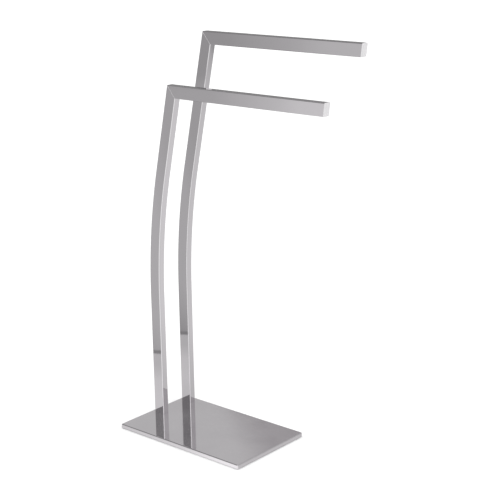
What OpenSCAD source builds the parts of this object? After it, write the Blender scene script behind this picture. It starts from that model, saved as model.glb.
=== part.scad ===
// Freestanding towel stand: two bowed uprights with level arms on a weighted base.
// Millimetres, +Z up, the arms along +X. The origin is on the floor,
// below the middle of the overall length and of the base's width.

/* [Base] */
// Length of the base, along the arms
base_len = 318; // [290:1:400]
// Width of the base, across the arms
base_wid = 198; // [180:1:260]
// Height of the pressed cover, from its lower rim to its top
cover_h = 8.4; // [8:0.1:14]
// Sheet thickness of the cover
cover_t = 1.2; // [0.9:0.1:1.6]
// Corner radius of the cover, seen from above
cover_corner_r = 3; // [2.6:0.1:12]
// Radius of the cover's rolled top edge
cover_edge_r = 1.8; // [1.6:0.1:2.4]
// Gap between the ballast plate and the cover's inner edge
ballast_gap = 0.3; // [0.1:0.1:0.6]
// Thickness of the sole sheet that closes the base
liner_t = 1; // [0.8:0.1:1.6]

/* [Feet] */
// Thickness of a foot pad, which lifts the rim off the floor
pad_h = 1.2; // [1:0.1:4]
// Diameter of a foot pad
pad_d = 22; // [14:0.5:30]
// Distance of a foot pad's edge from the base's long sides
pad_side_gap = 11; // [6:0.5:20]
// Clear distance between a foot pad and the uprights' footprint
pad_foot_gap = 2; // [1:0.5:12]

/* [Tube] */
// Depth of the rectangular tube, in the plane of the bow
tube_depth = 25; // [22:0.5:30]
// Width of the rectangular tube, across the bow
tube_wid = 15; // [14:0.5:20]
// Wall thickness of the tube
tube_t = 1.2; // [1:0.1:1.5]
// Outside corner radius of the tube
tube_r = 1.8; // [1.6:0.1:2.6]

/* [Uprights] */
// Height of the rear arm's top above the floor
rear_h = 800; // [750:1:920]
// Height of the front arm's top above the floor
front_h = 703; // [650:1:735]
// Distance between the two uprights' centres
upright_pitch = 81.5; // [60:0.5:110]
// Distance of the uprights from the base's short edge
end_inset = 8.5; // [2.5:0.5:20]
// Distance of the rear upright from the base's long back edge
back_inset = 11; // [2.5:0.5:20]
// Height at which the bow begins
bow_start = 269; // [200:1:340]
// Radius of the bow, along the tube's centre line
bow_r = 1220; // [1000:5:1600]
// Lean of the upper stretch, in degrees
bow_lean = 12.1; // [8:0.1:15]

/* [Arms] */
// Length of the rear arm along its top, from the mitred corner to the cap's face
rear_arm_len = 383; // [300:1:440]
// Length of the front arm, measured in the same way
front_arm_len = 383; // [300:1:440]
// Slant of the arm's free end, in degrees
end_slant = 8; // [0:0.5:15]
// Thickness of an end cap's head, along the arm
cap_t = 1.5; // [1:0.1:6]
// Depth of the cap's plug inside the arm
cap_plug_len = 14; // [8:0.5:30]
// Wall thickness of the cap's plug
cap_plug_t = 1.4; // [1:0.1:2]

/* [Fasteners] */
// Distance between the two screws in one upright
screw_pitch = 12; // [11:0.1:13]
// Thread diameter of the screws and studs
screw_d = 5; // [4:0.1:5.4]
// Length of a screw below its head
screw_len = 16; // [12:0.5:18]
// Height of the foot plug in an upright
plug_h = 16; // [13:0.5:30]
// Diameter of a screw head
head_d = 9; // [8:0.1:9.4]
// Height of a screw head
head_h = 2.2; // [1.8:0.1:2.6]
// Width across flats of a screw head's socket
socket_af = 3; // [2.5:0.1:4]
// Depth of a screw head's socket
socket_depth = 1.3; // [0.8:0.1:1.6]
// Outside diameter of a spring washer
spring_washer_d = 9.2; // [8.6:0.1:9.6]
// Thickness of a spring washer
spring_washer_t = 1.2; // [0.8:0.1:1.6]
// Outside diameter of a plain washer
plain_washer_d = 9.6; // [9.2:0.1:10.4]
// Thickness of a plain washer
plain_washer_t = 1; // [0.6:0.1:1.2]
// Distance of the ballast studs from the base's free short edge
stud_inset = 30; // [20:0.5:80]
// Distance between the two ballast studs
stud_pitch = 120; // [60:1:150]
// Width across flats of a stud nut
nut_af = 8; // [7:0.1:8.4]
// Height of a stud nut
nut_h = 2.2; // [1.8:0.1:2.6]
// Reach of a stud past its nut
stud_over = 0.5; // [0.2:0.1:0.8]

/* [Clearances] */
// Gap round a pushed-in plug
push_gap = 0.05; // [0.02:0.01:0.15]
// Gap between a screw and the thread it turns in
thread_gap = 0.05; // [0.02:0.01:0.1]
// Gap between a screw and a hole it passes through
hole_gap = 0.25; // [0.1:0.05:0.4]
// Gap between a washer and the pocket it lies in
pocket_gap = 0.5; // [0.2:0.1:0.8]
// Gap between the sole sheet and the cover's skirt
liner_gap = 0.4; // [0.1:0.1:1]
// Depth by which screw heads stay below the ballast plate's underside
head_sink = 0.1; // [0.05:0.05:0.4]

/* [Hidden] */

// Facets of round edges and holes
$fn = 48;
// Steps of an upright's bow, and of each corner of its section
bow_steps = 16;
corner_steps = 4;

// Colours: the polished metal and the pale caps, as they are seen; the rest is hidden below
polished = [0.78, 0.78, 0.80];
pale = [0.86, 0.85, 0.86];
iron = [0.32, 0.32, 0.33];
zinc = [0.66, 0.67, 0.68];
black = [0.10, 0.10, 0.11];

// Heights, from the floor up
rim_z = pad_h;
base_top = rim_z + cover_h;
cover_under = base_top - cover_t;
ballast_under = rim_z + liner_t;

// The bow: its rise, its run to the side, and the height at which it ends
bow_rise = bow_r * sin(bow_lean);
bow_run = bow_r * (1 - cos(bow_lean));
bow_end = bow_start + bow_rise;

// Sideways run of an upright's centre line at height z on its leaning stretch
function lean_run(z) = bow_run + (z - bow_end) * tan(bow_lean);
// Sideways run of its outer face at height h, where the mitred corner lies
function corner_run(h) = lean_run(h) + tube_depth / 2 - tube_depth / 2 / cos(bow_lean);

// Places along X, from the left short edge of the base to the free end of the rear arm
overall_len = end_inset + corner_run(rear_h) + rear_arm_len;
left_x = -overall_len / 2;
base_x = left_x + base_len / 2;
foot_x = left_x + end_inset + tube_depth / 2;
stud_x = left_x + base_len - stud_inset;
function corner_x(h) = left_x + end_inset + corner_run(h);

// Places along Y
rear_y = base_wid / 2 - back_inset - tube_wid / 2;
front_y = rear_y - upright_pitch;

// Foot pads, clear of the screws' access holes
pad_x = base_len / 2 - end_inset - tube_depth - pad_foot_gap - pad_d / 2;
pad_y = base_wid / 2 - pad_side_gap - pad_d / 2;
pad_chamfer_share = 0.3;

// The bore of the tube, and what is pushed into it
bore_depth = tube_depth - 2 * tube_t;
bore_wid = tube_wid - 2 * tube_t;
bore_r = tube_r - tube_t;
push_depth = bore_depth - 2 * push_gap;
push_wid = bore_wid - 2 * push_gap;

// How far the foot of an arm's slanted end falls back
slant_run = tube_depth * tan(end_slant);

// The pocket below the ballast plate that takes a screw's head and washers
web_z = ballast_under + plain_washer_t + spring_washer_t + head_h + head_sink;
head_under = web_z - plain_washer_t - spring_washer_t;
pocket_r = plain_washer_d / 2 + pocket_gap;
hole_r = screw_d / 2 + hole_gap;
tapped_r = screw_d / 2 + thread_gap;
head_chamfer_share = 0.12;
washer_slot_share = 0.1;

// Distance by which cutting bodies run past what they cut
over = tube_depth;

// A rectangle with round corners, centred
module rounded_rect(len, wid, r) {
    square([len - 2 * r, wid], center = true);
    square([len, wid - 2 * r], center = true);
    for (x = [-1, 1], y = [-1, 1])
        translate([x * (len / 2 - r), y * (wid / 2 - r)])
            circle(r);
}

// Section of a slab's rim, from x = 0 out to its side, with a rolled top edge of radius r
module rolled_rim(reach, h, r) {
    square([reach, h - r]);
    square([reach - r, h]);
    translate([reach - r, h - r]) intersection() {
        circle(r);
        square(r);
    }
}

// A slab with round corners and a rolled top edge, its underside at z = 0.
// The flat core reaches halfway into the rim's strips and corners.
module rolled_slab(len, wid, h, corner_r, edge_r) {
    lap = (corner_r - edge_r) / 2;
    flat_x = len / 2 - corner_r;
    flat_y = wid / 2 - corner_r;
    linear_extrude(h) rounded_rect(2 * (flat_x + lap), 2 * (flat_y + lap), lap);
    for (a = [0, 180]) rotate(a) {
        translate([-flat_x, flat_y, 0]) rotate([90, 0, 90])
            linear_extrude(2 * flat_x) rolled_rim(corner_r, h, edge_r);
        translate([flat_x, flat_y, 0]) rotate([90, 0, 0])
            linear_extrude(2 * flat_y) rolled_rim(corner_r, h, edge_r);
    }
    for (c = [[1, 1, 0], [-1, 1, 90], [-1, -1, 180], [1, -1, 270]])
        translate([c.x * flat_x, c.y * flat_y, 0]) rotate(c.z)
            rotate_extrude(angle = 90) rolled_rim(corner_r, h, edge_r);
}

// Outline of the tube, its depth along X and its width along Y
module tube_outline() {
    rounded_rect(tube_depth, tube_wid, tube_r);
}

// Section of the tube's wall
module tube_section() {
    difference() {
        tube_outline();
        rounded_rect(bore_depth, bore_wid, bore_r);
    }
}

// Stands its children upright in XY along +X, for shapes that run along an arm at height h
module along_arm(x, h) {
    translate([x, 0, h - tube_depth / 2]) rotate([0, 90, 0]) children();
}

// Puts its children at the four screws of the uprights
module at_screws() {
    for (y = [front_y, rear_y], s = [-1, 1])
        translate([foot_x + s * screw_pitch / 2, y, 0]) children();
}

// Puts its children at the two studs that hold the ballast plate's free end
module at_studs() {
    for (s = [-1, 1])
        translate([stud_x, s * stud_pitch / 2, 0]) children();
}

// Everything on the upright's side of the mitre plane of the corner at height h
module before_mitre(h) {
    z = h - tube_depth / 2;
    translate([foot_x + lean_run(z), 0, z]) rotate([0, 45 + bow_lean / 2, 0])
        translate([0, 0, -over]) cube(2 * over, center = true);
}

// Everything beyond the slanted end of an arm of length len at height h, moved back along X
// by back, or everything before that plane where way is -1
module past_end(h, len, back, way = 1) {
    translate([corner_x(h) + len - back, 0, h]) rotate([0, end_slant, 0])
        translate([way * over, 0, 0]) cube([2 * over, 2 * over, 4 * over], center = true);
}

// Points of a rectangle with round corners: depth along X, width along Y
function rounded_points(len, wid, r) = [
    for (c = [[1, 1, 0], [-1, 1, 90], [-1, -1, 180], [1, -1, 270]], i = [0:corner_steps])
        [c.x * (len / 2 - r) + r * cos(c.z + 90 * i / corner_steps),
         c.y * (wid / 2 - r) + r * sin(c.z + 90 * i / corner_steps)]
];

// A ring of the upright: the section's points p, leaning by a, about the centre line's point
function ring(p, x, z, a) = [
    for (q = p) [x + q.x * cos(a), q.y, z - q.x * sin(a)]
];

// The last ring, in the mitre plane. A point's way up the lean gets shorter with its place
// across the tube, by the tangent of half the turn from the lean to the arm.
function mitre_ring(p, len) = [
    for (q = p) let (up = len - q.x * tan(45 - bow_lean / 2))
        [bow_run + q.x * cos(bow_lean) + up * sin(bow_lean), q.y,
         bow_end - q.x * sin(bow_lean) + up * cos(bow_lean)]
];

// A bowed upright in the plane y: straight foot, bow, then the lean up to the mitre.
// Each ring holds the tube's outline and then its bore, with the same number of points.
module upright(h, y) {
    p = concat(rounded_points(tube_depth, tube_wid, tube_r),
               rounded_points(bore_depth, bore_wid, bore_r));
    n = len(p) / 2;
    last = bow_steps + 2;
    rings = [
        ring(p, 0, base_top, 0),
        for (i = [0:bow_steps]) let (a = bow_lean * i / bow_steps)
            ring(p, bow_r * (1 - cos(a)), bow_start + bow_r * sin(a), a),
        mitre_ring(p, (h - tube_depth / 2 - bow_end) / cos(bow_lean))
    ];
    faces = [
        for (j = [0:n - 1]) let (k = (j + 1) % n) each [
            [j, k, n + k, n + j],
            [for (v = [n + j, n + k, k, j]) 2 * n * last + v],
            for (i = [0:last - 1]) let (low = 2 * n * i, high = low + 2 * n) each [
                [high + j, high + k, low + k, low + j],
                [low + n + j, low + n + k, high + n + k, high + n + j]
            ]
        ]
    ];
    translate([foot_x, y, 0]) polyhedron([for (r = rings) each r], faces);
}

// A level arm in the plane y, from the mitre to the seat of its cap
module arm(h, len, y) {
    translate([0, y, 0]) difference() {
        along_arm(corner_x(h), h) linear_extrude(len) tube_section();
        before_mitre(h);
        past_end(h, len, cap_t);
    }
}

// The cap of an arm: a slanted head flush with the tube, and a hollow plug that starts
// halfway into the head
module arm_cap(h, len, y) {
    seat_x = corner_x(h) + len - cap_t;
    reach = cap_plug_len + slant_run;
    translate([0, y, 0]) {
        difference() {
            along_arm(seat_x - reach, h) linear_extrude(reach + cap_t) tube_outline();
            past_end(h, len, cap_t, -1);
            past_end(h, len, 0);
        }
        difference() {
            along_arm(seat_x - reach, h) linear_extrude(reach + cap_t)
                rounded_rect(push_depth, push_wid, bore_r);
            along_arm(seat_x - reach - over, h) linear_extrude(reach + over)
                square([push_depth - 2 * cap_plug_t, push_wid - 2 * cap_plug_t], center = true);
            past_end(h, len, cap_t / 2);
        }
    }
}

// The tapped block in the foot of an upright
module foot_plug(y) {
    difference() {
        translate([foot_x, y, base_top])
            linear_extrude(plug_h) rounded_rect(push_depth, push_wid, bore_r);
        at_screws() cylinder(r = tapped_r, h = base_top + plug_h + over);
    }
}

// A foot pad, at the sides sx and sy of the base
module foot_pad(sx, sy) {
    c = pad_chamfer_share * pad_h;
    r = pad_d / 2;
    translate([base_x + sx * pad_x, sy * pad_y, 0]) rotate_extrude()
        polygon([[0, 0], [r - c, 0], [r, c], [r, pad_h], [0, pad_h]]);
}

// A washer with its underside at height z
module washer(d, t, z) {
    translate([0, 0, z]) difference() {
        cylinder(d = d, h = t);
        translate([0, 0, -t]) cylinder(r = hole_r, h = 3 * t);
    }
}

// A hexagonal prism measured across its flats
module hexagon(af, h) {
    cylinder(d = af / cos(30), h = h, $fn = 6);
}

module base_cover() {
    color(polished) difference() {
        translate([base_x, 0, rim_z])
            rolled_slab(base_len, base_wid, cover_h, cover_corner_r, cover_edge_r);
        translate([base_x, 0, rim_z - over])
            rolled_slab(base_len - 2 * cover_t, base_wid - 2 * cover_t, cover_h - cover_t + over,
                        cover_corner_r - cover_t, cover_edge_r - cover_t);
        at_screws() cylinder(r = hole_r, h = base_top + over);
    }
}

module ballast_plate() {
    side = cover_edge_r + ballast_gap;
    color(iron) difference() {
        translate([base_x, 0, ballast_under]) linear_extrude(cover_under - ballast_under)
            rounded_rect(base_len - 2 * side, base_wid - 2 * side, cover_corner_r - side);
        at_screws() ballast_hole();
        at_studs() ballast_hole();
    }
}

// A hole through the ballast plate, widened from below for a head or a nut and its washers
module ballast_hole() {
    cylinder(r = hole_r, h = base_top);
    cylinder(r = pocket_r, h = web_z);
}

module base_liner() {
    side = cover_t + liner_gap;
    color(black) translate([0, 0, rim_z]) difference() {
        translate([base_x, 0, 0]) linear_extrude(liner_t)
            rounded_rect(base_len - 2 * side, base_wid - 2 * side, cover_corner_r - side);
        translate([0, 0, -over]) at_screws() cylinder(r = pocket_r, h = 2 * over);
    }
}

module foot_pad_front_left() {
    color(black) foot_pad(-1, -1);
}

module foot_pad_front_right() {
    color(black) foot_pad(1, -1);
}

module foot_pad_rear_left() {
    color(black) foot_pad(-1, 1);
}

module foot_pad_rear_right() {
    color(black) foot_pad(1, 1);
}

module front_upright() {
    color(polished) upright(front_h, front_y);
}

module rear_upright() {
    color(polished) upright(rear_h, rear_y);
}

module front_arm() {
    color(polished) arm(front_h, front_arm_len, front_y);
}

module rear_arm() {
    color(polished) arm(rear_h, rear_arm_len, rear_y);
}

module front_arm_cap() {
    color(pale) arm_cap(front_h, front_arm_len, front_y);
}

module rear_arm_cap() {
    color(pale) arm_cap(rear_h, rear_arm_len, rear_y);
}

module front_foot_plug() {
    color(zinc) foot_plug(front_y);
}

module rear_foot_plug() {
    color(zinc) foot_plug(rear_y);
}

// Low-head socket screws, driven from below
module upright_screws() {
    c = head_chamfer_share * head_h;
    r = head_d / 2;
    color(zinc) at_screws() translate([0, 0, head_under]) difference() {
        union() {
            rotate_extrude() polygon([[0, -head_h], [r - c, -head_h], [r, c - head_h], [r, 0], [0, 0]]);
            cylinder(d = screw_d, h = screw_len);
        }
        translate([0, 0, -2 * head_h]) hexagon(socket_af, head_h + socket_depth);
    }
}

// Split spring washers, flat as when tightened
module spring_washers() {
    slot = washer_slot_share * spring_washer_d;
    color(zinc) at_screws() difference() {
        washer(spring_washer_d, spring_washer_t, head_under);
        translate([0, -slot / 2, head_under - over]) cube([spring_washer_d, slot, 2 * over]);
    }
}

// Plain washers, below the screws' and the studs' web in the ballast plate
module plain_washers() {
    color(zinc) {
        at_screws() washer(plain_washer_d, plain_washer_t, web_z - plain_washer_t);
        at_studs() washer(plain_washer_d, plain_washer_t, web_z - plain_washer_t);
    }
}

// Threaded studs welded to the underside of the cover
module ballast_studs() {
    foot = web_z - plain_washer_t - nut_h - stud_over;
    color(zinc) at_studs() translate([0, 0, foot]) cylinder(d = screw_d, h = cover_under - foot);
}

// Thin hexagon nuts on the studs
module stud_nuts() {
    color(zinc) at_studs() translate([0, 0, web_z - plain_washer_t - nut_h]) difference() {
        hexagon(nut_af, nut_h);
        translate([0, 0, -nut_h]) cylinder(r = tapped_r, h = 3 * nut_h);
    }
}

base_cover();
ballast_plate();
base_liner();
foot_pad_front_left();
foot_pad_front_right();
foot_pad_rear_left();
foot_pad_rear_right();
front_upright();
rear_upright();
front_arm();
rear_arm();
front_arm_cap();
rear_arm_cap();
front_foot_plug();
rear_foot_plug();
upright_screws();
spring_washers();
plain_washers();
ballast_studs();
stud_nuts();
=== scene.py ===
import math

import bpy
from mathutils import Matrix, Vector


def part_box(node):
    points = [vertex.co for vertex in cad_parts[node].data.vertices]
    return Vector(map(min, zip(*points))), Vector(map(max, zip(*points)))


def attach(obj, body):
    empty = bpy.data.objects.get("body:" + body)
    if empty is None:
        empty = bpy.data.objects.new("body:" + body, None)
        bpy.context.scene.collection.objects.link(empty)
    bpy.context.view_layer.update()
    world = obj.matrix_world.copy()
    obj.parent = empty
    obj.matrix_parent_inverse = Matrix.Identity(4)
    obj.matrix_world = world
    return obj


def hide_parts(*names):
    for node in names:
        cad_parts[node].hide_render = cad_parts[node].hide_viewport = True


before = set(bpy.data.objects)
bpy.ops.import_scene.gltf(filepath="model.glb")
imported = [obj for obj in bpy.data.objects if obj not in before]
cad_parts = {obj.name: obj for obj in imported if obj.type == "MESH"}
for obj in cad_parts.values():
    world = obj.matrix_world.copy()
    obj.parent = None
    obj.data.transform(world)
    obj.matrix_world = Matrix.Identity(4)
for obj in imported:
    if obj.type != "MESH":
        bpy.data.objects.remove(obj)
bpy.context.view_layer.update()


# Base cover: a pressed sheet-steel tray, chrome plated and polished like a mirror. Its rolled edge
# and skirt hide the ballast, and the uprights are screwed down on it from below. The plating shows
# faint polishing lines, a few smears where hands lift it, and a little dust on the flat top.

def put(tree, kind, **settings):
    """A new node of this kind in the tree, with its settings."""
    node = tree.nodes.new(kind)
    for name, value in settings.items():
        setattr(node, name, value)
    return node


def feed(tree, socket, source):
    """Links source to the socket, or sets the socket to it where it is a plain value."""
    if isinstance(source, bpy.types.NodeSocket):
        tree.links.new(source, socket)
    else:
        socket.default_value = source


def reckon(tree, operation, *values):
    """The result of one Math node."""
    node = put(tree, "ShaderNodeMath", operation=operation)
    for socket, value in zip(node.inputs, values):
        feed(tree, socket, value)
    return node.outputs[0]


def blend_of(tree, share, low, high):
    """The colour low, turning into the colour high as share goes from 0 to 1."""
    node = put(tree, "ShaderNodeMix", data_type="RGBA")
    for place, value in ((0, share), (6, low), (7, high)):
        feed(tree, node.inputs[place], value)
    return node.outputs[2]


def remapped(tree, value, low, high, to_low=0.0, to_high=1.0, smooth=False):
    """The value's run from low to high, stretched to another run and held at its ends."""
    node = put(tree, "ShaderNodeMapRange",
               interpolation_type="SMOOTHSTEP" if smooth else "LINEAR")
    for place, given in enumerate((value, low, high, to_low, to_high)):
        feed(tree, node.inputs[place], given)
    return node.outputs[0]


def noise_of(tree, vector, scale, detail=2.0, roughness=0.5, distortion=0.0):
    """A cloudy pattern from 0 to 1, with scale in clouds to the metre."""
    node = put(tree, "ShaderNodeTexNoise")
    feed(tree, node.inputs["Vector"], vector)
    for name, value in (("Scale", scale), ("Detail", detail), ("Roughness", roughness),
                        ("Distortion", distortion)):
        feed(tree, node.inputs[name], value)
    return node.outputs[0]


def shader_group(name, inputs, outputs):
    """A new group with inputs (name, default), a vector where the default is None, and its ends."""
    tree = bpy.data.node_groups.new(name, "ShaderNodeTree")
    for label, default in inputs:
        kind = "NodeSocketVector" if default is None else "NodeSocketFloat"
        socket = tree.interface.new_socket(label, in_out="INPUT", socket_type=kind)
        if default is not None:
            socket.default_value = default
    for label in outputs:
        tree.interface.new_socket(label, in_out="OUTPUT", socket_type="NodeSocketFloat")
    return tree, put(tree, "NodeGroupInput").outputs, put(tree, "NodeGroupOutput").inputs


def polish_group():
    """Lines that a polishing wheel leaves along a piece, and the metal's soft waves under them."""
    tree, given, made = shader_group(
        "wheel_polish", [("Vector", None), ("Lines", 1600.0), ("Length", 14.0), ("Waves", 22.0)],
        ["Line Mask", "Height"])
    spread = put(tree, "ShaderNodeCombineXYZ")
    feed(tree, spread.inputs[0], given["Length"])
    feed(tree, spread.inputs[1], given["Lines"])
    feed(tree, spread.inputs[2], given["Lines"])
    stretched = put(tree, "ShaderNodeVectorMath", operation="MULTIPLY")
    feed(tree, stretched.inputs[0], given["Vector"])
    feed(tree, stretched.inputs[1], spread.outputs[0])
    lines = noise_of(tree, stretched.outputs[0], 1.0, 2.0, 0.6)
    waves = noise_of(tree, given["Vector"], given["Waves"], 1.0, 0.4)
    sharp = remapped(tree, lines, 0.42, 0.72)
    wave_height, line_height = 0.94, -0.012
    feed(tree, made["Line Mask"], sharp)
    feed(tree, made["Height"], reckon(tree, "ADD", reckon(tree, "MULTIPLY", waves, wave_height),
                                      reckon(tree, "MULTIPLY", sharp, line_height)))
    return tree


def smear_group():
    """Cloudy smears and prints where hands touch the plating."""
    tree, given, made = shader_group(
        "hand_smears", [("Vector", None), ("Size", 9.0), ("Cover", 0.5)], ["Smear Mask"])
    clouds = noise_of(tree, given["Vector"], given["Size"], 3.0, 0.55, 0.6)
    rub = noise_of(tree, given["Vector"], reckon(tree, "MULTIPLY", given["Size"], 21.0), 4.0, 0.7)
    edge = reckon(tree, "SUBTRACT", 0.74, reckon(tree, "MULTIPLY", given["Cover"], 0.3))
    patch = remapped(tree, clouds, edge, reckon(tree, "ADD", edge, 0.16), smooth=True)
    feed(tree, made["Smear Mask"],
         reckon(tree, "MULTIPLY", patch, remapped(tree, rub, 0.3, 0.7, 0.35, 1.0)))
    return tree


def dust_group():
    """Fine dust that settles on faces that look up."""
    tree, given, made = shader_group(
        "settled_dust", [("Vector", None), ("Amount", 0.5), ("Grain", 900.0)], ["Dust Mask"])
    up = put(tree, "ShaderNodeSeparateXYZ")
    feed(tree, up.inputs[0], put(tree, "ShaderNodeNewGeometry").outputs["Normal"])
    level = remapped(tree, up.outputs[2], 0.75, 0.98, smooth=True)
    film = remapped(tree, noise_of(tree, given["Vector"], 14.0, 3.0, 0.6), 0.35, 0.75, 0.25, 1.0)
    specks = remapped(tree, noise_of(tree, given["Vector"], given["Grain"], 1.0), 0.66, 0.74)
    film_share, speck_share = 0.25, 0.75
    settled = reckon(tree, "ADD", reckon(tree, "MULTIPLY", film, film_share),
                     reckon(tree, "MULTIPLY", specks, speck_share))
    feed(tree, made["Dust Mask"],
         reckon(tree, "MULTIPLY", reckon(tree, "MULTIPLY", level, settled), given["Amount"]))
    return tree


def edge_highlight_group():
    """A painted highlight on the rounded long edges of a tube: a mask where the normal turns
    between the flat faces.
    """
    tree, given, made = shader_group("painted_edge_highlight", [("Amount", 1.0)], ["Edge Mask"])
    facing = put(tree, "ShaderNodeSeparateXYZ")
    feed(tree, facing.inputs[0], put(tree, "ShaderNodeNewGeometry").outputs["Normal"])
    across = reckon(tree, "ABSOLUTE", facing.outputs[1])
    rounded = reckon(tree, "MULTIPLY", remapped(tree, across, 0.06, 0.25),
                     remapped(tree, across, 0.995, 0.95))
    feed(tree, made["Edge Mask"], reckon(tree, "MULTIPLY", rounded, given["Amount"]))
    return tree


wheel_polish = polish_group()
hand_smears = smear_group()
settled_dust = dust_group()
painted_edge_highlight = edge_highlight_group()


def finish_named(name, metallic, **plain):
    """A new material with its Principled shader, and the piece's own coordinates."""
    material = bpy.data.materials.new(name)
    material.use_nodes = True
    tree = material.node_tree
    shader = tree.nodes["Principled BSDF"]
    shader.inputs["Metallic"].default_value = metallic
    for label, value in plain.items():
        shader.inputs[label.replace("_", " ")].default_value = value
    return material, tree, shader, put(tree, "ShaderNodeTexCoord").outputs["Object"]


def grouped(tree, group, **values):
    """The outputs of a shader group that is placed in the material with its own values."""
    node = put(tree, "ShaderNodeGroup", node_tree=group)
    for label, value in values.items():
        feed(tree, node.inputs[label.replace("_", " ")], value)
    return node.outputs


def bumped(tree, shader, height, distance, strength=1.0):
    """Brings a height into the shader's normal; distance is the height's full range in metres."""
    bump = put(tree, "ShaderNodeBump")
    bump.inputs["Strength"].default_value = strength
    bump.inputs["Distance"].default_value = distance
    feed(tree, bump.inputs["Height"], height)
    feed(tree, shader.inputs["Normal"], bump.outputs[0])


plate_tone = (0.80, 0.773, 0.80)
edge_highlight_tone = (0.97, 0.955, 0.97, 1)
dust_tone = (0.62, 0.61, 0.59, 1)
smear_fade = (0.93, 0.925, 0.91)
clean_rough, smear_rough, line_rough, dust_rough = 0.035, 0.09, 0.025, 0.45


def chrome(name, turn=(0, 0, 0), wave=0.00006, smear=0.5, dust=0.4, edges=0.0, tone=plate_tone):
    """Polished chrome plating; turn brings its lines along the piece, edges paints a highlight on
    its rounded edges.
    """
    material, tree, shader, place = finish_named(name, 1.0)
    mapping = put(tree, "ShaderNodeMapping")
    mapping.inputs["Rotation"].default_value = turn
    feed(tree, mapping.inputs["Vector"], place)
    polish = grouped(tree, wheel_polish, Vector=mapping.outputs[0])
    smears = grouped(tree, hand_smears, Vector=place, Cover=smear)["Smear Mask"]
    dusty = grouped(tree, settled_dust, Vector=place, Amount=dust)["Dust Mask"]
    dull = (*(part * fade for part, fade in zip(tone, smear_fade)), 1)
    # Painted highlight: on the rounded edges, the base colour is brightened towards a near-white
    # tone, as far as edges asks.
    edge = grouped(tree, painted_edge_highlight, Amount=edges)["Edge Mask"]
    tint = blend_of(tree, reckon(tree, "MULTIPLY", smears, 0.5), (*tone, 1), dull)
    tint = blend_of(tree, edge, tint, edge_highlight_tone)
    feed(tree, shader.inputs["Base Color"], blend_of(tree, dusty, tint, dust_tone))
    feed(tree, shader.inputs["Metallic"], reckon(tree, "SUBTRACT", 1.0, dusty))
    rough = reckon(tree, "ADD", reckon(tree, "MULTIPLY", smears, smear_rough),
                   reckon(tree, "MULTIPLY", polish["Line Mask"], line_rough))
    rough = reckon(tree, "ADD", rough, reckon(tree, "MULTIPLY", dusty, dust_rough))
    feed(tree, shader.inputs["Roughness"], reckon(tree, "ADD", rough, clean_rough))
    bumped(tree, shader, polish["Height"], wave)
    return material


def refinish(node, material):
    """Gives a CAD node that stays as it is its finish."""
    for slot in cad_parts[node].material_slots:
        slot.material = material


cover_chrome = chrome("cover_chrome_plate", wave=0.00005, smear=0.35, dust=0.35)
refinish("base_cover", cover_chrome)


# Bowed uprights and level arms: two frames of 25 x 15 mm rectangular steel tube with 1.2 mm walls.
# Each upright is bent to its bow and cut at the mitre. Its arm is welded on there, ground flush and
# plated with it, so only a hairline shows at the corner. The arms' free ends are cut at a slant.

tube_depth, tube_width, tube_edge, tube_wall = 0.025, 0.015, 0.0013, 0.0012
bow_start, bow_radius, bow_lean = 0.269, 1.220, math.radians(12.1)
end_slant = math.radians(8)
bow_steps, edge_steps = 96, 7
broken_edge, sharpest_bend = 0.0004, math.radians(35)


def geometry_tree(name, inputs):
    """A new Geometry Nodes tree with named inputs (name, kind), and its two ends."""
    tree = bpy.data.node_groups.new(name, "GeometryNodeTree")
    tree.interface.new_socket("Geometry", in_out="INPUT", socket_type="NodeSocketGeometry")
    for label, kind in inputs:
        tree.interface.new_socket(label, in_out="INPUT", socket_type="NodeSocket" + kind)
    tree.interface.new_socket("Geometry", in_out="OUTPUT", socket_type="NodeSocketGeometry")
    return tree, put(tree, "NodeGroupInput").outputs, put(tree, "NodeGroupOutput").inputs


def finish_tree(tree, geometry, material, made):
    """Ends a tree: instances made real, then the finish."""
    real = put(tree, "GeometryNodeRealizeInstances")
    feed(tree, real.inputs[0], geometry)
    painted = put(tree, "GeometryNodeSetMaterial")
    feed(tree, painted.inputs["Geometry"], real.outputs[0])
    feed(tree, painted.inputs["Material"], material)
    feed(tree, made["Geometry"], painted.outputs[0])


def sweep_tree():
    """Sweeps a rounded rectangle along the piece's path of edges, open at both ends."""
    tree, given, made = geometry_tree(
        "tube_sweep", [("Across", "Float"), ("Along Bow", "Float"), ("Edge Radius", "Float"),
                       ("Edge Steps", "Int"), ("Finish", "Material")])
    path = put(tree, "GeometryNodeMeshToCurve")
    feed(tree, path.inputs["Mesh"], given["Geometry"])
    outline = put(tree, "GeometryNodeCurvePrimitiveQuadrilateral", mode="RECTANGLE")
    feed(tree, outline.inputs["Width"], given["Across"])
    feed(tree, outline.inputs["Height"], given["Along Bow"])
    rounded = put(tree, "GeometryNodeFilletCurve", mode="POLY")
    for label, value in (("Curve", outline.outputs[0]), ("Radius", given["Edge Radius"]),
                         ("Count", given["Edge Steps"])):
        feed(tree, rounded.inputs[label], value)
    swept = put(tree, "GeometryNodeCurveToMesh")
    feed(tree, swept.inputs["Curve"], path.outputs[0])
    feed(tree, swept.inputs["Profile Curve"], rounded.outputs[0])
    smooth = put(tree, "GeometryNodeSetShadeSmooth")
    feed(tree, smooth.inputs["Geometry"], swept.outputs[0])
    finish_tree(tree, smooth.outputs[0], given["Finish"], made)
    return tree


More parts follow.
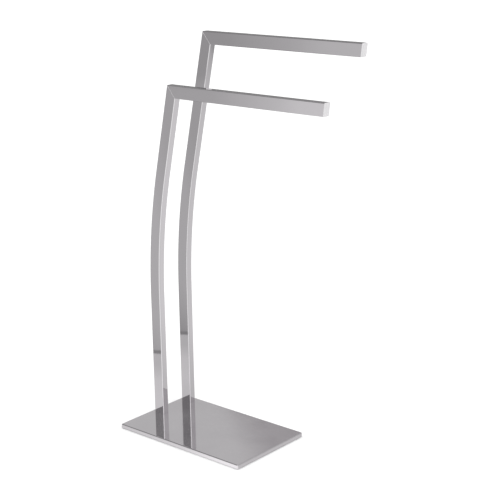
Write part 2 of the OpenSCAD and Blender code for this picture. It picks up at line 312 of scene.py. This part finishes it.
def cut_tree():
    """Slides what lies beyond a plane back onto it along the tube, as a saw cut would leave it."""
    tree, given, made = geometry_tree(
        "saw_cut", [("Plane Point", "Vector"), ("Plane Normal", "Vector"),
                    ("Tube Direction", "Vector"), ("Finish", "Material")])
    reach = put(tree, "ShaderNodeVectorMath", operation="SUBTRACT")
    feed(tree, reach.inputs[0], put(tree, "GeometryNodeInputPosition").outputs[0])
    feed(tree, reach.inputs[1], given["Plane Point"])
    beyond = put(tree, "ShaderNodeVectorMath", operation="DOT_PRODUCT")
    feed(tree, beyond.inputs[0], reach.outputs[0])
    feed(tree, beyond.inputs[1], given["Plane Normal"])
    lean = put(tree, "ShaderNodeVectorMath", operation="DOT_PRODUCT")
    feed(tree, lean.inputs[0], given["Tube Direction"])
    feed(tree, lean.inputs[1], given["Plane Normal"])
    back = put(tree, "ShaderNodeVectorMath", operation="SCALE")
    feed(tree, back.inputs[0], given["Tube Direction"])
    feed(tree, back.inputs["Scale"],
         reckon(tree, "MULTIPLY", reckon(tree, "DIVIDE", beyond.outputs["Value"],
                                         lean.outputs["Value"]), -1.0))
    cut = put(tree, "GeometryNodeSetPosition")
    feed(tree, cut.inputs["Geometry"], given["Geometry"])
    feed(tree, cut.inputs["Selection"],
         reckon(tree, "GREATER_THAN", beyond.outputs["Value"], 0.0))
    feed(tree, cut.inputs["Offset"], back.outputs[0])
    finish_tree(tree, cut.outputs[0], given["Finish"], made)
    return tree


tube_sweep = sweep_tree()
saw_cut = cut_tree()


def add_nodes(piece, tree, **values):
    """A Geometry Nodes modifier whose inputs are set by their sockets' identifiers."""
    modifier = piece.modifiers.new(tree.name, "NODES")
    modifier.node_group = tree
    names = {s.name: s.identifier for s in tree.interface.items_tree if s.in_out == "INPUT"}
    for label, value in values.items():
        modifier[names[label.replace("_", " ")]] = value


def made_plain(piece):
    """Swaps the piece's modifiers for the mesh that they make."""
    graph = bpy.context.evaluated_depsgraph_get()
    mesh = bpy.data.meshes.new_from_object(piece.evaluated_get(graph))
    piece.modifiers.clear()
    mesh.name = piece.name
    piece.data = mesh


def new_piece(name, points, edges=(), faces=()):
    """A new object at the origin, with its mesh in the frame's metres."""
    mesh = bpy.data.meshes.new(name)
    mesh.from_pydata(points, edges, faces)
    piece = bpy.data.objects.new(name, mesh)
    bpy.context.scene.collection.objects.link(piece)
    return piece


def steel_tube(name, path, across, along, cuts, material, node):
    """A tube on its path, with its wall, its saw cuts, and the fine break of its cut edges."""
    piece = new_piece(name, path, [(i, i + 1) for i in range(len(path) - 1)])
    add_nodes(piece, tube_sweep, Across=across, Along_Bow=along, Edge_Radius=tube_edge,
              Edge_Steps=edge_steps, Finish=material)
    wall = piece.modifiers.new("wall", "SOLIDIFY")
    wall.thickness, wall.offset, wall.use_even_offset = tube_wall, -1, True
    for point, normal, direction in cuts:
        add_nodes(piece, saw_cut, Plane_Point=point, Plane_Normal=normal,
                  Tube_Direction=direction, Finish=material)
    broken = piece.modifiers.new("broken_edges", "BEVEL")
    broken.width, broken.segments, broken.angle_limit = broken_edge, 2, sharpest_bend
    weighted = piece.modifiers.new("flat_faces", "WEIGHTED_NORMAL")
    weighted.keep_sharp, weighted.weight = False, 100
    made_plain(piece)
    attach(piece, "root")
    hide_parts(node)


lean_way = Vector((math.sin(bow_lean), 0, math.cos(bow_lean)))
level_way = Vector((1, 0, 0))
half_turn = (math.pi / 2 + bow_lean) / 2
mitre_normal = Vector((math.sin(half_turn), 0, math.cos(half_turn)))
overrun = tube_depth

# Painted shade: the rear frame's chrome is a darker copy of the front frame's, its tone about 7 %
# lower.
for side, shade, arm_edge_highlight in (("front", plate_tone, 0.5), ("rear", (0.744, 0.719, 0.744), 0.0)):
    upright_chrome = chrome(side + "_upright_chrome_plate", turn=(0, math.radians(90), 0),
                            smear=0.4, dust=0.2, edges=1.0, tone=shade)
    # The uprights get the full painted edge highlight, the front arm half of it, and the rear arm
    # none.
    arm_chrome = chrome(side + "_arm_chrome_plate", smear=0.55, dust=0.3, edges=arm_edge_highlight,
                        tone=shade)
    low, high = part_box(side + "_upright")
    arm_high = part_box(side + "_arm")[1]
    foot = Vector((low.x + tube_depth / 2, (low.y + high.y) / 2, low.z))
    path = [foot]
    for step in range(bow_steps + 1):
        angle = bow_lean * step / bow_steps
        path.append(Vector((foot.x + bow_radius * (1 - math.cos(angle)), foot.y,
                            bow_start + bow_radius * math.sin(angle))))
    rise = (arm_high.z - tube_depth / 2 - path[-1].z) / lean_way.z
    corner = path[-1] + lean_way * rise
    path.append(corner + lean_way * overrun)
    steel_tube(side + "_upright_tube", path, tube_depth, tube_width,
               [(corner, mitre_normal, lean_way)], upright_chrome, side + "_upright")
    slant_normal = Vector((math.cos(end_slant), 0, -math.sin(end_slant)))
    seat = Vector((arm_high.x, foot.y, arm_high.z))
    arm_path = [corner - level_way * overrun, Vector((seat.x + overrun, foot.y, corner.z))]
    steel_tube(side + "_arm_tube", arm_path, tube_width, tube_depth,
               [(corner, -mitre_normal, level_way), (seat, slant_normal, level_way)],
               arm_chrome, side + "_arm")


# Arm caps: pale grey moulded plastic heads that close the arms' slanted ends flush with the tube,
# each held by a hollow plug inside it. Their skin is satin, with a faint spark-eroded grain.

cap_plastic, tree, shader, place = finish_named("cap_plastic", 0.0, Specular_IOR_Level=0.4)
cloud = noise_of(tree, place, 70.0, 3.0, 0.6)
rubbed = remapped(tree, noise_of(tree, place, 240.0, 4.0, 0.7), 0.56, 0.72)
feed(tree, shader.inputs["Base Color"], blend_of(
    tree, rubbed, blend_of(tree, cloud, (0.70, 0.69, 0.70, 1), (0.665, 0.655, 0.67, 1)),
    (0.61, 0.60, 0.61, 1)))
feed(tree, shader.inputs["Roughness"], remapped(tree, cloud, 0.3, 0.7, 0.42, 0.56))
bumped(tree, shader, noise_of(tree, place, 3200.0, 2.0), 0.00001, 0.5)
for side in ("front", "rear"):
    refinish(side + "_arm_cap", cap_plastic)


# Ballast plate: a flame-cut steel plate under the cover that keeps the stand upright. It has one
# thin coat of black lacquer, worn through to the grey steel and to a little rust in places.

lacquered_steel, tree, shader, place = finish_named("lacquered_steel", 0.0, Specular_IOR_Level=0.5)
mottle = noise_of(tree, place, 60.0, 4.0, 0.65, 0.4)
worn = remapped(tree, noise_of(tree, place, 34.0, 6.0, 0.72), 0.64, 0.70)
coat = blend_of(tree, mottle, (0.022, 0.022, 0.024, 1), (0.045, 0.045, 0.048, 1))
bare = blend_of(tree, remapped(tree, mottle, 0.45, 0.6),
                (0.17, 0.09, 0.05, 1), (0.26, 0.26, 0.27, 1))
feed(tree, shader.inputs["Base Color"], blend_of(tree, worn, coat, bare))
feed(tree, shader.inputs["Metallic"], reckon(tree, "MULTIPLY", worn, 0.7))
feed(tree, shader.inputs["Roughness"],
     reckon(tree, "ADD", remapped(tree, mottle, 0.3, 0.7, 0.30, 0.46),
            reckon(tree, "MULTIPLY", worn, 0.2)))
bumped(tree, shader, reckon(tree, "SUBTRACT", mottle, reckon(tree, "MULTIPLY", worn, 0.4)),
       0.00006)
refinish("ballast_plate", lacquered_steel)


# Sole sheet: a thin sheet of closed-cell foam glued under the ballast, so the stand never scratches
# a bathroom floor. Its skin is matt black with a fine pebbled grain.

foam_sheet, tree, shader, place = finish_named("foam_sheet", 0.0)
cells = put(tree, "ShaderNodeTexVoronoi")
cells.inputs["Scale"].default_value = 900
feed(tree, cells.inputs["Vector"], place)
worn = noise_of(tree, place, 18.0, 4.0, 0.6)
feed(tree, shader.inputs["Base Color"],
     blend_of(tree, remapped(tree, worn, 0.35, 0.75),
              (0.018, 0.018, 0.02, 1), (0.05, 0.049, 0.048, 1)))
feed(tree, shader.inputs["Roughness"], remapped(tree, worn, 0.3, 0.7, 0.78, 0.95))
bumped(tree, shader, cells.outputs["Distance"], 0.0001, 0.8)
refinish("base_liner", foam_sheet)


# Foot pads: four moulded rubber discs stuck to the sole. Rings on the underside keep them from
# slipping on wet tiles, and their edges are slightly rounded by the mould.

def turned(name, outline, steps=48):
    """A mesh turned round Z from an outline of (radius, height), closed at both ends."""
    points = [(r * math.cos(2 * math.pi * i / steps), r * math.sin(2 * math.pi * i / steps), z)
              for r, z in outline[1:-1] for i in range(steps)]
    rows = len(outline) - 2
    faces = [(row * steps + i, row * steps + (i + 1) % steps,
              (row + 1) * steps + (i + 1) % steps, (row + 1) * steps + i)
             for row in range(rows - 1) for i in range(steps)]
    foot, head = len(points), len(points) + 1
    points += [(0, 0, outline[0][1]), (0, 0, outline[-1][1])]
    faces += [(foot, (i + 1) % steps, i) for i in range(steps)]
    top = (rows - 1) * steps
    faces += [(head, top + i, top + (i + 1) % steps) for i in range(steps)]
    return points, faces


def repeat_tree():
    """Sets one made piece at each of the four corners of a rectangle."""
    tree, given, made = geometry_tree(
        "four_places", [("Pitch Along", "Float"), ("Pitch Across", "Float"), ("Middle", "Vector"),
                        ("Finish", "Material")])
    corners = put(tree, "GeometryNodeMeshGrid")
    corners.inputs["Vertices X"].default_value = 2
    corners.inputs["Vertices Y"].default_value = 2
    feed(tree, corners.inputs["Size X"], given["Pitch Along"])
    feed(tree, corners.inputs["Size Y"], given["Pitch Across"])
    moved = put(tree, "GeometryNodeTransform")
    feed(tree, moved.inputs["Geometry"], corners.outputs[0])
    feed(tree, moved.inputs["Translation"], given["Middle"])
    copies = put(tree, "GeometryNodeInstanceOnPoints")
    feed(tree, copies.inputs["Points"], moved.outputs[0])
    feed(tree, copies.inputs["Instance"], given["Geometry"])
    finish_tree(tree, copies.outputs[0], given["Finish"], made)
    return tree


four_places = repeat_tree()


def four_of(name, points, faces, boxes, z, material, slot, nodes):
    """One piece of four like parts, at the middles of the boxes' corners."""
    piece = new_piece(name, points, (), faces)
    piece.data.shade_smooth()
    xs = sorted((low.x + high.x) / 2 for low, high in boxes)
    ys = sorted((low.y + high.y) / 2 for low, high in boxes)
    add_nodes(piece, four_places, Pitch_Along=xs[-1] - xs[0], Pitch_Across=ys[-1] - ys[0],
              Middle=Vector(((xs[0] + xs[-1]) / 2, (ys[0] + ys[-1]) / 2, z)), Finish=material)
    weighted = piece.modifiers.new("sharp_edges", "WEIGHTED_NORMAL")
    weighted.keep_sharp = True
    made_plain(piece)
    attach(piece, "root")
    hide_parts(*nodes)


rubber, tree, shader, place = finish_named("pad_rubber", 0.0, Specular_IOR_Level=0.35)
grime = noise_of(tree, place, 130.0, 4.0, 0.65)
feed(tree, shader.inputs["Base Color"],
     blend_of(tree, remapped(tree, grime, 0.4, 0.75),
              (0.022, 0.022, 0.023, 1), (0.07, 0.067, 0.062, 1)))
feed(tree, shader.inputs["Roughness"], remapped(tree, grime, 0.3, 0.7, 0.55, 0.8))
bumped(tree, shader, noise_of(tree, place, 2200.0, 2.0), 0.00003, 0.6)

pads = ["foot_pad_" + side + "_" + end for side in ("front", "rear") for end in ("left", "right")]
pad_low, pad_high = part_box(pads[0])
pad_r, pad_h = (pad_high.x - pad_low.x) / 2, pad_high.z - pad_low.z
pad_rings = 3
dimple_r, dimple_h = 0.0015, 0.0004
first_ring, ring_pitch, ring_w, ring_h, ring_slope = 0.0034, 0.0022, 0.0011, 0.0005, 0.0003
mould_edge, mould_middle, rim_edge, rim_land = 0.00045, 0.00013, 0.0001, 0.001
pad_outline = [(0, dimple_h), (dimple_r, dimple_h), (dimple_r + dimple_h, 0)]
for ring in range(pad_rings):
    start = first_ring + ring * ring_pitch
    pad_outline += [(start, 0), (start + ring_slope, ring_h),
                    (start + ring_w - ring_slope, ring_h), (start + ring_w, 0)]
pad_outline += [(pad_r - mould_edge, 0), (pad_r - mould_middle, mould_middle),
                (pad_r, mould_edge), (pad_r, pad_h - rim_edge), (pad_r - rim_edge, pad_h),
                (pad_r - rim_land, pad_h), (0, pad_h)]
four_of("foot_pads", *turned("foot_pad", pad_outline), [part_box(pad) for pad in pads], 0, rubber,
        "pad_rubber", pads)


# Foot plugs, screws, washers, studs and nuts: turned and cold-headed steel, zinc plated, all hidden
# below the base or inside the tubes. Only the screw heads show, in the sole's four holes.

zinc, tree, shader, place = finish_named("zinc_plate", 1.0)
spangle = put(tree, "ShaderNodeTexVoronoi")
spangle.inputs["Scale"].default_value = 420
feed(tree, spangle.inputs["Vector"], place)
tarnish = noise_of(tree, place, 90.0, 4.0, 0.6)
feed(tree, shader.inputs["Base Color"],
     blend_of(tree, remapped(tree, tarnish, 0.35, 0.7),
              (0.62, 0.64, 0.66, 1), (0.47, 0.47, 0.45, 1)))
feed(tree, shader.inputs["Roughness"],
     remapped(tree, reckon(tree, "ADD", spangle.outputs["Color"], tarnish),
              0.3, 1.4, 0.24, 0.46))
bumped(tree, shader, tarnish, 0.00002)
for name in ("front_foot_plug", "rear_foot_plug", "upright_screws", "spring_washers",
             "plain_washers", "ballast_studs", "stud_nuts"):
    refinish(name, zinc)


# Studio: a pale table top under soft white light. What the chrome mirrors is plain too: a light
# table that ends half a metre in front, glowing in painted greys, a grey room beyond it, and a dark
# corner to the left.

def grey(tone):
    return (tone, tone, tone, 1)


def toward(tree, direction, place, near, far):
    """1 where place looks along direction, fading to 0, by the cosines near and far."""
    spread = put(tree, "ShaderNodeVectorMath", operation="DOT_PRODUCT")
    feed(tree, spread.inputs[0], place)
    spread.inputs[1].default_value = direction
    return remapped(tree, spread.outputs["Value"], far, near, smooth=True)


def tone_steps(tree, value, low, high, stops):
    """Greys at given values between low and high, with straight runs between them."""
    steps = put(tree, "ShaderNodeValToRGB")
    feed(tree, steps.inputs[0], remapped(tree, value, low, high))
    ramp = steps.color_ramp
    for number, (at, tone) in enumerate(stops):
        stop = ramp.elements[number] if number < 2 else ramp.elements.new(1.0)
        stop.position = (at - low) / (high - low)
        stop.color = grey(tone)
    return steps.outputs[0]


def plain_or_mirrored(tree, ray, plain, mirrored):
    """The plain shader for the camera and for light, and the other for what the chrome mirrors."""
    node = put(tree, "ShaderNodeMixShader")
    feed(tree, node.inputs[0], ray["Is Glossy Ray"])
    feed(tree, node.inputs[1], plain)
    feed(tree, node.inputs[2], mirrored)
    return node.outputs[0]


world = bpy.data.worlds.new("soft_room")
bpy.context.scene.world = world
world.use_nodes = True
tree = world.node_tree
tree.nodes.clear()
sight = put(tree, "ShaderNodeTexCoord").outputs["Generated"]
ray = put(tree, "ShaderNodeLightPath").outputs
room = grey(0.46)
back_wall, dark_corner = (-0.62, 0.74, 0.28), (-0.78, -0.45, 0.42)
side_wall, front_card = (0.70, 0.68, 0.22), (0.37, -0.60, 0.70)
for direction, near, far, tone in ((back_wall, 0.95, 0.75, 0.50), (dark_corner, 0.95, 0.45, 0.21),
                                   (side_wall, 0.95, 0.75, 0.45), (front_card, 0.97, 0.88, 1.30)):
    unit = Vector(direction).normalized()
    room = blend_of(tree, toward(tree, unit, sight, near, far), room, grey(tone))
low_card, second_bounce = Vector((0.79, -0.61, 0.05)), 2.5
twice = reckon(tree, "MULTIPLY", toward(tree, low_card, sight, 0.90, 0.55),
               reckon(tree, "GREATER_THAN", ray["Ray Depth"], second_bounce))
room = blend_of(tree, twice, room, grey(1.15))
wall_shade, shade_edge = Vector((-0.60, 0.75, 0.28)), Vector((0.760, 0.649, -0.548))
behind = reckon(tree, "MULTIPLY", toward(tree, shade_edge, sight, -0.2107, -0.2481),
                toward(tree, wall_shade, sight, 0.93, 0.80))
room = blend_of(tree, behind, room, (0.346, 0.336, 0.342, 1))
height = put(tree, "ShaderNodeSeparateXYZ")
feed(tree, height.inputs[0], sight)
skirting = reckon(tree, "MULTIPLY", remapped(tree, height.outputs[2], 0.24, 0.13, smooth=True),
                  remapped(tree, height.outputs[1], 0.0, 0.2))
room = blend_of(tree, skirting, room, grey(0.20))
mirrored_room = put(tree, "ShaderNodeBackground")
feed(tree, mirrored_room.inputs["Color"], room)
white_room = put(tree, "ShaderNodeBackground")
white_room.inputs["Color"].default_value = grey(1.0)
feed(tree, put(tree, "ShaderNodeOutputWorld").inputs["Surface"],
     plain_or_mirrored(tree, ray, white_room.outputs[0], mirrored_room.outputs[0]))

half_table = 12
floor = new_piece("studio_table", [(-half_table, -half_table, 0), (half_table, -half_table, 0),
                                   (half_table, half_table, 0), (-half_table, half_table, 0)],
                  (), [(0, 1, 2, 3)])
pale_table, tree, shader, place = finish_named("pale_table", 0.0, Roughness=0.9,
                                               Specular_IOR_Level=0.0, Base_Color=grey(0.93))

# Two directions on the table: ahead, out in front of the stand, and aside, to its free end's side.
spot = put(tree, "ShaderNodeSeparateXYZ")
feed(tree, spot.inputs[0], place)
ahead_x, ahead_y = -0.469, -0.918
ahead = reckon(tree, "ADD", reckon(tree, "MULTIPLY", spot.outputs[0], ahead_x),
               reckon(tree, "MULTIPLY", spot.outputs[1], ahead_y))
aside = reckon(tree, "ADD", reckon(tree, "MULTIPLY", spot.outputs[0], -ahead_y),
               reckon(tree, "MULTIPLY", spot.outputs[1], ahead_x))

# The table's greys, from behind the stand to its front end, with a painted bright patch on its
# right side.
rearward = reckon(tree, "ADD", ahead, aside)
rear_table = tone_steps(tree, rearward, -2.6, 0.0, (
    (-2.6, 0.60), (-1.73, 0.30), (-1.66, 0.42), (-1.38, 0.53), (-1.04, 0.565), (-0.63, 0.58),
    (-0.55, 0.575), (-0.22, 0.475), (0.0, 0.49)))
front_table = tone_steps(tree, ahead, 0.0, 0.41, (
    (0.0, 0.49), (0.20, 0.548), (0.32, 0.53), (0.41, 0.44)))
table = blend_of(tree, remapped(tree, ahead, -0.02, 0.02), rear_table, front_table)
painted_light_patch = reckon(tree, "MULTIPLY", remapped(tree, aside, -0.20, 0.06),
              remapped(tree, ahead, 0.04, 0.065, smooth=True))
painted_light_near_patch = reckon(tree, "MULTIPLY", remapped(tree, aside, -0.06, 0.10),
                   remapped(tree, ahead, 0.15, 0.11))
table = blend_of(tree, painted_light_patch, table, blend_of(tree, painted_light_near_patch, grey(0.69), grey(0.84)))

# The room's floor beyond the table's end, which shows a dark line, with painted shade on the dim
# side and painted light on the bright side.
table_end, end_blur = 0.490, 0.006
room_floor = tone_steps(tree, reckon(tree, "DIVIDE", aside, ahead), -0.776, 0.0, (
    (-0.776, 0.27), (-0.55, 0.392), (-0.41, 0.403), (-0.35, 0.342), (-0.28, 0.35), (-0.20, 0.463),
    (-0.17, 0.527), (0.0, 0.60)))
far_end = remapped(tree, ahead, 4.75, 5.2, 0.0, 0.13)
room_floor = blend_of(tree, far_end, room_floor, grey(0.0))
beyond = remapped(tree, ahead, table_end, table_end + end_blur)
end_line = reckon(tree, "MULTIPLY", remapped(tree, ahead, 0.486, table_end),
                  remapped(tree, ahead, 0.514, 0.508))
mirror_tone = blend_of(tree, end_line, blend_of(tree, beyond, table, room_floor), grey(0.20))
sidelong = reckon(tree, "MULTIPLY", reckon(tree, "ABSOLUTE", ahead), 0.9)
dim_side = reckon(tree, "MULTIPLY", remapped(tree, aside, -0.40, -0.55),
                  remapped(tree, reckon(tree, "ADD", aside, sidelong), -0.02, -0.10))
mirror_tone = blend_of(tree, dim_side, mirror_tone, grey(0.13))
slope = reckon(tree, "DIVIDE", reckon(tree, "SUBTRACT", ahead, 0.095),
               reckon(tree, "ADD", aside, 0.19))
between = reckon(tree, "MULTIPLY", remapped(tree, slope, 0.45, 0.56),
                 remapped(tree, slope, 1.30, 1.05))
lit_side = reckon(tree, "MULTIPLY", remapped(tree, aside, 0.06, 0.12), between)
mirror_tone = blend_of(tree, lit_side, mirror_tone, grey(0.85))
# In the chrome, the table is not lit: it glows with these greys, as painted light and shade rather
# than the lamp's.
mirrored_table = put(tree, "ShaderNodeEmission")
feed(tree, mirrored_table.inputs["Color"], mirror_tone)
mirrored_table.inputs["Strength"].default_value = 1.25

# From below, the table is open, so that the stand's underside can be looked at.
open_below = put(tree, "ShaderNodeMixShader")
feed(tree, open_below.inputs[0], put(tree, "ShaderNodeNewGeometry").outputs["Backfacing"])
feed(tree, open_below.inputs[1], plain_or_mirrored(
    tree, put(tree, "ShaderNodeLightPath").outputs, shader.outputs[0], mirrored_table.outputs[0]))
feed(tree, open_below.inputs[2], put(tree, "ShaderNodeBsdfTransparent").outputs[0])
feed(tree, tree.nodes["Material Output"].inputs["Surface"], open_below.outputs[0])
floor.data.materials.append(pale_table)

lamp = bpy.data.objects.new("overhead_light", bpy.data.lights.new("overhead_light", "SUN"))
lamp.data.energy, lamp.data.angle = 0.85, math.radians(70)
lamp.rotation_euler = (math.radians(12), math.radians(14), 0)
lamp.visible_glossy = False
bpy.context.scene.collection.objects.link(lamp)
bpy.context.scene.view_settings.view_transform = "Standard"

camera = bpy.data.objects.new("camera", bpy.data.cameras.new("camera"))
camera.data.sensor_width, camera.data.lens = 36, 92.190
stand_point = Vector((1.56050, -1.77110, 1.05695))
turn, tip, roll = math.radians(40.78109), math.radians(15.58104), math.radians(-0.86428)
onward = Vector((-math.sin(turn) * math.cos(tip), math.cos(turn) * math.cos(tip), -math.sin(tip)))
right = Vector((math.cos(turn), math.sin(turn), 0))
upward = right.cross(onward)
across = right * math.cos(roll) + upward * math.sin(roll)
upward = upward * math.cos(roll) - right * math.sin(roll)
camera.matrix_world = Matrix((
    (across.x, upward.x, -onward.x, stand_point.x), (across.y, upward.y, -onward.y, stand_point.y),
    (across.z, upward.z, -onward.z, stand_point.z), (0, 0, 0, 1)))
bpy.context.scene.collection.objects.link(camera)
bpy.context.scene.camera = camera

bpy.context.view_layer.update()
